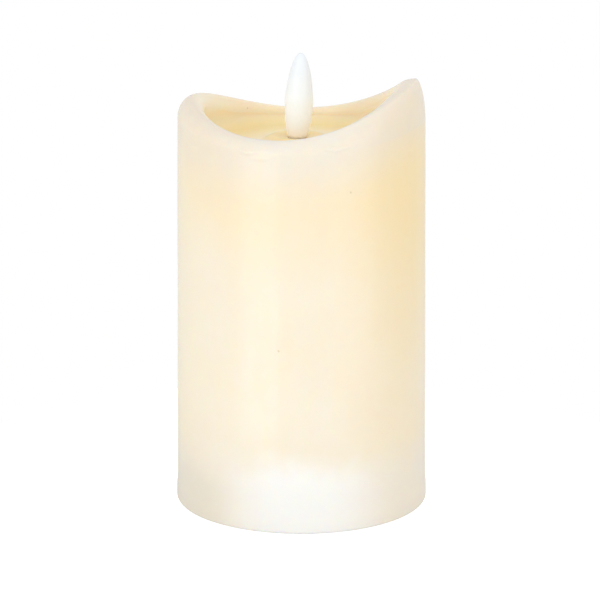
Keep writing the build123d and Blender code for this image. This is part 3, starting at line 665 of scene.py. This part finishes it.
dress(
    grained("cell_steel", (0.66, 0.66, 0.65), (0.54, 0.54, 0.53), (0.20, 0.36), 0.5, 0.006, 4, (0.08, 1, 1),
            metal=1.0),
    "battery_can_a", "battery_can_b",
)
dress(
    grained("cell_jacket", (0.075, 0.080, 0.095), (0.050, 0.055, 0.068), (0.20, 0.34), 0.8, 0.008, 8,
            Coat_Weight=0.35),
    "battery_jacket_a", "battery_jacket_b",
)
dress(
    grained("contact_steel", (0.70, 0.69, 0.66), (0.58, 0.57, 0.54), (0.18, 0.34), 0.25, 0.006, 2, (1, 1, 0.2),
            metal=1.0),
    "bridge_contact", "bridge_spring", "positive_contact", "negative_contact", "negative_spring",
)
dress(
    grained("solder_mask", (0.030, 0.165, 0.060), (0.018, 0.110, 0.040), (0.22, 0.36), 0.4, 0.01, 1.6,
            Coat_Weight=0.3),
    "circuit_board",
)
dress(
    grained("chip_moulding", (0.034, 0.034, 0.036), (0.022, 0.022, 0.024), (0.50, 0.68), 0.12, 0.01, 1.2),
    "controller_chip",
)
dress(
    grained("capacitor_can", (0.62, 0.63, 0.65), (0.52, 0.53, 0.55), (0.26, 0.40), 0.3, 0.006, 2, (1, 1, 0.15),
            metal=1.0),
    "capacitor",
)
dress(
    grained("resistor_film", (0.055, 0.055, 0.060), (0.030, 0.030, 0.034), (0.30, 0.48), 0.15, 0.008, 0.8),
    "resistors",
)
dress(
    grained("switch_steel", (0.66, 0.66, 0.64), (0.52, 0.52, 0.50), (0.24, 0.40), 0.4, 0.008, 2.5, (0.2, 1, 1),
            metal=1.0),
    "switch_shell",
)
dress(
    grained("phenolic_board", (0.30, 0.165, 0.075), (0.20, 0.105, 0.045), (0.42, 0.58), 0.3, 0.02, 1.4),
    "switch_base",
)
dress(
    grained("knob_moulding", (0.045, 0.045, 0.048), (0.032, 0.032, 0.035), (0.36, 0.52), 0.16, 0.02, 1.5),
    "switch_knob",
)
dress(
    grained("zinc_screw", (0.62, 0.63, 0.63), (0.46, 0.47, 0.48), (0.24, 0.42), 0.3, 0.01, 1.2, metal=1.0),
    "housing_screws", "board_screws",
)
dress(
    grained("hot_melt", (0.78, 0.74, 0.62), (0.70, 0.65, 0.52), (0.18, 0.34), 1.2, 0.05, 2.5,
            Subsurface_Weight=0.5, Subsurface_Scale=1.5 * MM),
    "glue_beads",
)


# ---------------------------------------------------------------------------------------------------------
# Floor, light and camera
# ---------------------------------------------------------------------------------------------------------

FLOOR_RADIUS = 0.125
FLOOR_CORNERS = 96

scene = bpy.context.scene

# The floor is seen from above only
floor_mesh = bpy.data.meshes.new("floor")
floor_turns = [2 * pi * i / FLOOR_CORNERS for i in range(FLOOR_CORNERS)]
floor_edge = [(FLOOR_RADIUS * cos(turn), FLOOR_RADIUS * sin(turn), 0) for turn in floor_turns]
floor_mesh.from_pydata(floor_edge, [], [tuple(range(FLOOR_CORNERS))])
floor = bpy.data.objects.new("floor", floor_mesh)
scene.collection.objects.link(floor)
floor_material, tree, shader = new_material("pale_floor")
shader.inputs["Base Color"].default_value = (0.50, 0.50, 0.50, 1)
shader.inputs["Roughness"].default_value = 0.9
shader.inputs["Specular IOR Level"].default_value = 0.0
shader.inputs["Emission Color"].default_value = (1, 1, 1, 1)
seen = tree.nodes.new("ShaderNodeLightPath")
glow = remap(tree, seen.outputs["Is Camera Ray"], 0, 1, 0.30, 0.90)
tree.links.new(glow, shader.inputs["Emission Strength"])
output = next(n for n in tree.nodes if n.type == "OUTPUT_MATERIAL")
under = tree.nodes.new("ShaderNodeNewGeometry")
clear = tree.nodes.new("ShaderNodeBsdfTransparent")
choice = tree.nodes.new("ShaderNodeMixShader")
tree.links.new(under.outputs["Backfacing"], choice.inputs[0])
tree.links.new(shader.outputs[0], choice.inputs[1])
tree.links.new(clear.outputs[0], choice.inputs[2])
tree.links.new(choice.outputs[0], output.inputs["Surface"])
floor_mesh.materials.append(floor_material)

world = bpy.data.worlds.new("studio")
world.use_nodes = True
background = next(n for n in world.node_tree.nodes if n.type == "BACKGROUND")
background.inputs["Color"].default_value = (1, 1, 1, 1)
seen = world.node_tree.nodes.new("ShaderNodeLightPath")
brightness = remap(world.node_tree, seen.outputs["Is Camera Ray"], 0, 1, 0.82, 1.0)
world.node_tree.links.new(brightness, background.inputs["Strength"])
scene.world = world


def soft_light(name, place, aim, width, height, energy):
    """A rectangular soft box."""
    data = bpy.data.lights.new(name, "AREA")
    data.shape = "RECTANGLE"
    data.size = width
    data.size_y = height
    data.energy = energy
    lamp = bpy.data.objects.new(name, data)
    lamp.location = place
    lamp.rotation_euler = (Vector(aim) - Vector(place)).to_track_quat("-Z", "Y").to_euler()
    scene.collection.objects.link(lamp)


soft_light("key", (-0.86, -1.08, 0.20), (0, 0, 0.07), 0.9, 1.5, 6.5)
soft_light("fill", (1.00, -0.95, 0.30), (0, 0, 0.07), 1.2, 1.4, 4.1)
soft_light("top", (0.28, 0.05, 1.20), (0, 0, 0.10), 0.7, 0.7, 0.95)

camera_data = bpy.data.cameras.new("camera")
camera_data.lens = 160.46
camera_data.sensor_width = 36.0
camera_data.clip_start = 0.01
camera_data.clip_end = 20.0
camera = bpy.data.objects.new("camera", camera_data)
camera.location = (-0.00045, -0.780, 0.2605)
camera.rotation_euler = (radians(90 - 14.30), 0, 0)
scene.collection.objects.link(camera)
scene.camera = camera
scene.view_settings.view_transform = "Standard"

bpy.context.view_layer.update()
